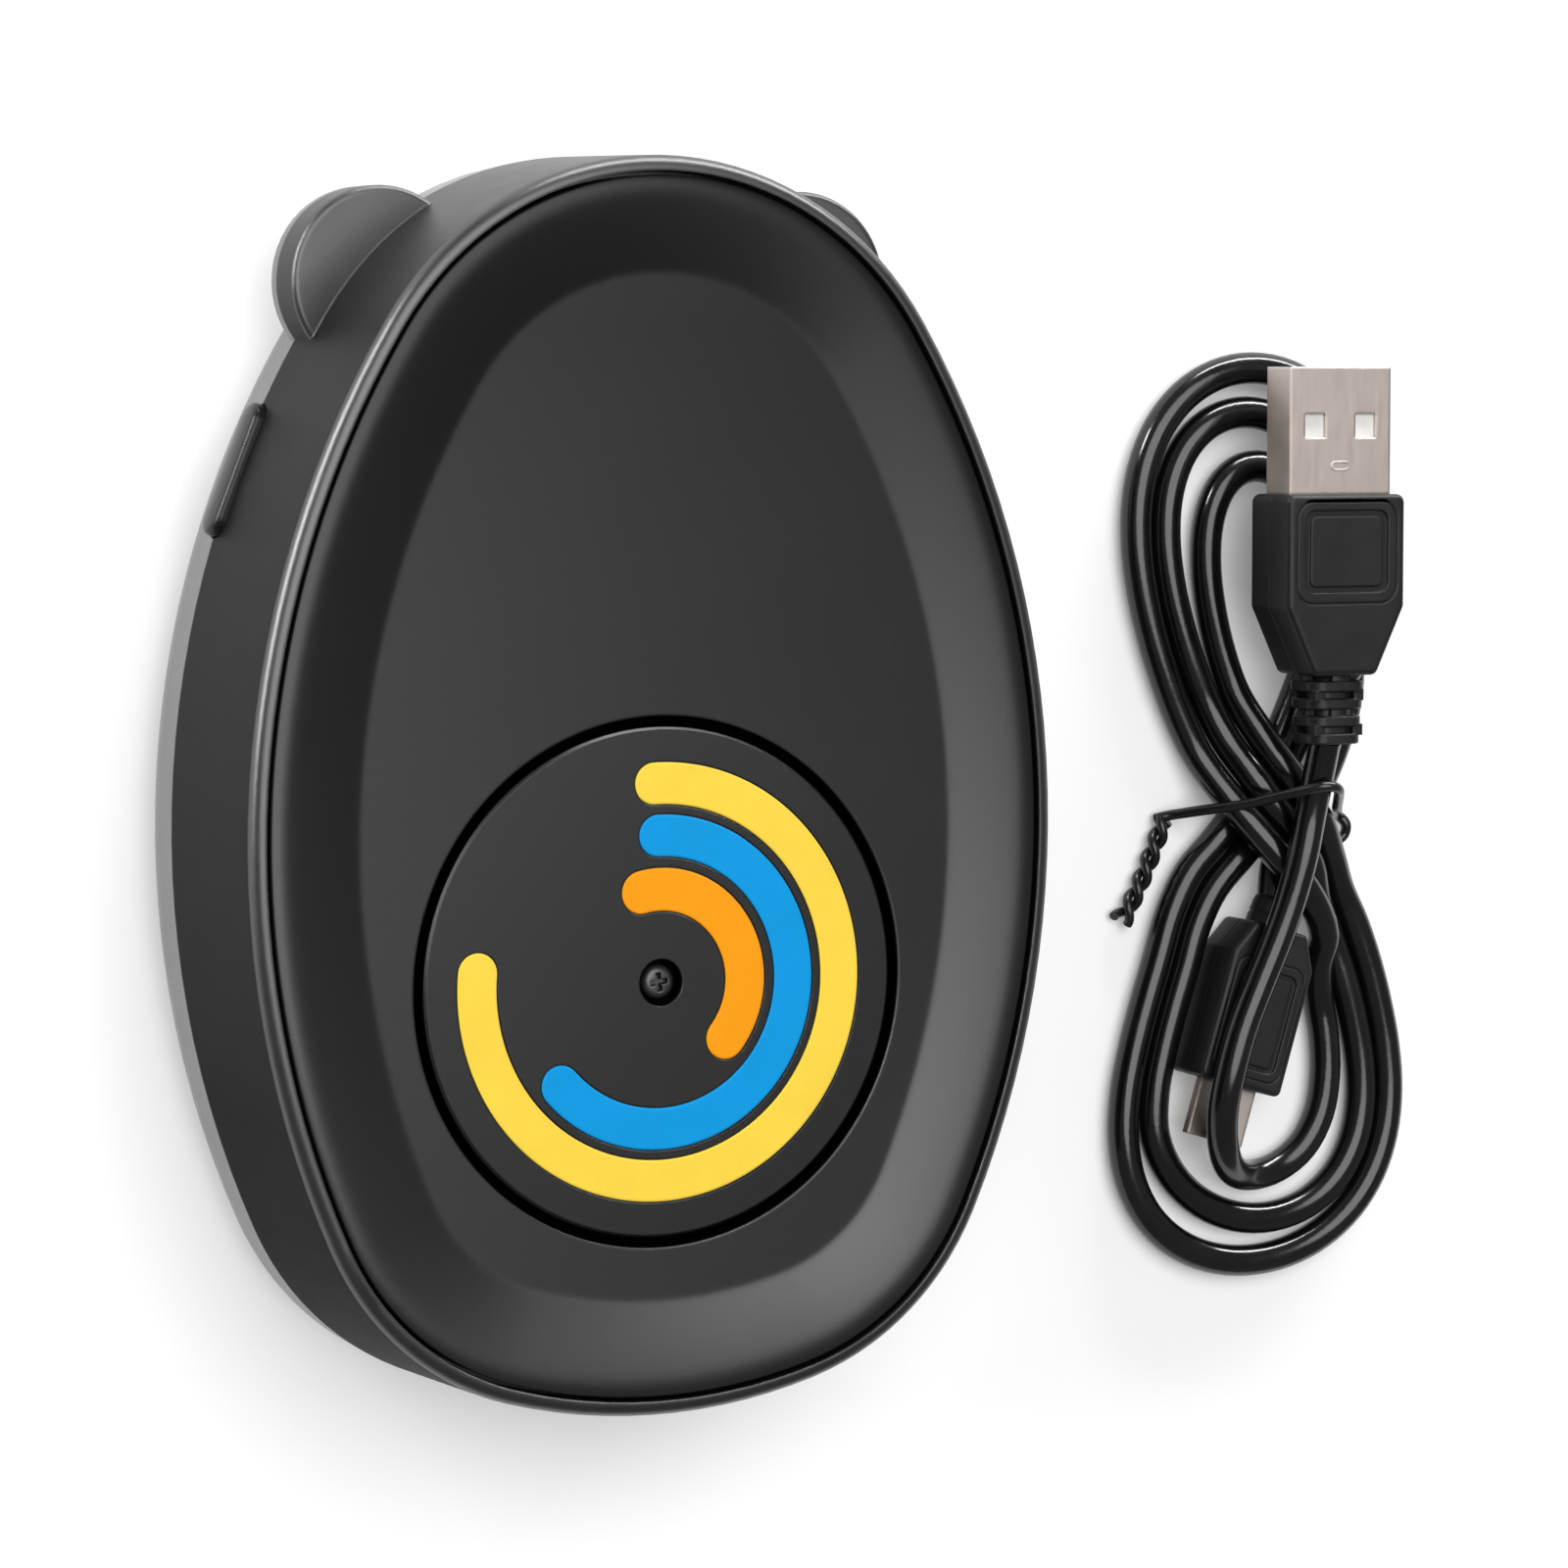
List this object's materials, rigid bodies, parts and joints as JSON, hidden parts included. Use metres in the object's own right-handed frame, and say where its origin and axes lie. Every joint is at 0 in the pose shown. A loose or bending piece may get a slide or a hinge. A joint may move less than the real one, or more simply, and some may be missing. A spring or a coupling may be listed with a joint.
{
  "type": "mouse jiggler",
  "caption": "Egg-shaped desk turntable with ears, a slow striped disc in a shallow dish, a side button and a small USB inlet, with its tied supply lead beside it.",
  "frame": {"origin": "under the middle of the case, on the surface that its four feet stand on", "axes": "+X to the right seen from above with the ears at the top, +Y towards the ears, +Z out of the face with the disc"},
  "size_m": [0.1411, 0.1188, 0.0302],
  "materials": {
    "case_plastic": "fine matte spark texture",
    "panel_plastic": "fine matte spark texture",
    "disc_plastic": "fine matte spark texture",
    "print_yellow": "pad-printed ink",
    "print_blue": "pad-printed ink",
    "print_orange": "pad-printed ink",
    "dark_screw": "blackened steel",
    "button_plastic": "matte",
    "red_plastic": "plain",
    "black_plastic": "plain",
    "plated_steel": "zinc plated",
    "winding": "enamelled copper wire",
    "magnet": "ferrite",
    "gear_plastic": "acetal",
    "blue_plastic": "plain",
    "white_plastic": "plain",
    "board_green": "solder mask",
    "rubber": "soft matte",
    "label": "blank film",
    "plug_metal": "nickel plated",
    "grip_plastic": "satin moulded",
    "cord_jacket": "smooth jacket",
    "tie_wire": "coated wire"
  },
  "bodies": {
    "base": {"rear_cover": "case_plastic", "front_frame": "case_plastic", "top_panel": "panel_plastic", "side_switch": "black_plastic", "motor_can": "plated_steel", "motor_top": "plated_steel", "gearbox_plate": "gear_plastic", "stator_yoke": "plated_steel", "stator_coils": "winding", "idler_pin": "plated_steel", "terminal_box": "blue_plastic", "motor_leads": "red_plastic", "lead_plug": "white_plastic", "lead_header": "white_plastic", "main_board": "board_green", "inlet_shell": "plated_steel", "inlet_tongue": "black_plastic", "control_chip": "black_plastic", "driver_chip": "black_plastic", "capacitor": "black_plastic", "case_screws": "plated_steel", "motor_screws": "plated_steel", "board_screws": "plated_steel", "rubber_feet": "rubber", "blank_label": "label", "usb_a_shell": "plug_metal", "usb_a_tongue": "white_plastic", "usb_a_grip": "grip_plastic", "micro_shell": "plug_metal", "micro_grip": "grip_plastic", "cable_tail": "cord_jacket", "cable_hank": "cord_jacket", "twist_tie": "tie_wire"},
    "turntable": {"turntable_disc": "disc_plastic", "stripe_outer": "print_yellow", "stripe_middle": "print_blue", "stripe_inner": "print_orange", "centre_screw": "dark_screw", "output_gear": "gear_plastic", "output_shaft": "plated_steel"},
    "idler": {"idler_gear": "gear_plastic"},
    "motor_rotor": {"rotor": "magnet"},
    "button": {"side_button": "button_plastic", "switch_plunger": "red_plastic"}
  },
  "joints": [
    {"name": "disc_spin", "type": "hinge", "parent": "base", "child": "turntable", "pos_m": [0, -0.01812, 0], "axis": [0, 0, 1], "continuous": true},
    {"name": "idler_spin", "type": "hinge", "parent": "base", "child": "idler", "pos_m": [0.00447, -0.01412, 0], "axis": [0, 0, 1], "continuous": true},
    {"name": "rotor_spin", "type": "hinge", "parent": "base", "child": "motor_rotor", "pos_m": [0, -0.01012, 0], "axis": [0, 0, 1], "continuous": true},
    {"name": "button_press", "type": "slide", "parent": "base", "child": "button", "axis": [0.9278, -0.373, 0], "range_m": [0, 0.0006], "stiffness_N_per_m": 3000}
  ],
  "couplings": [
    {"joint": "idler_spin", "follows": "disc_spin", "ratio": -3},
    {"joint": "rotor_spin", "follows": "disc_spin", "ratio": 9}
  ]
}
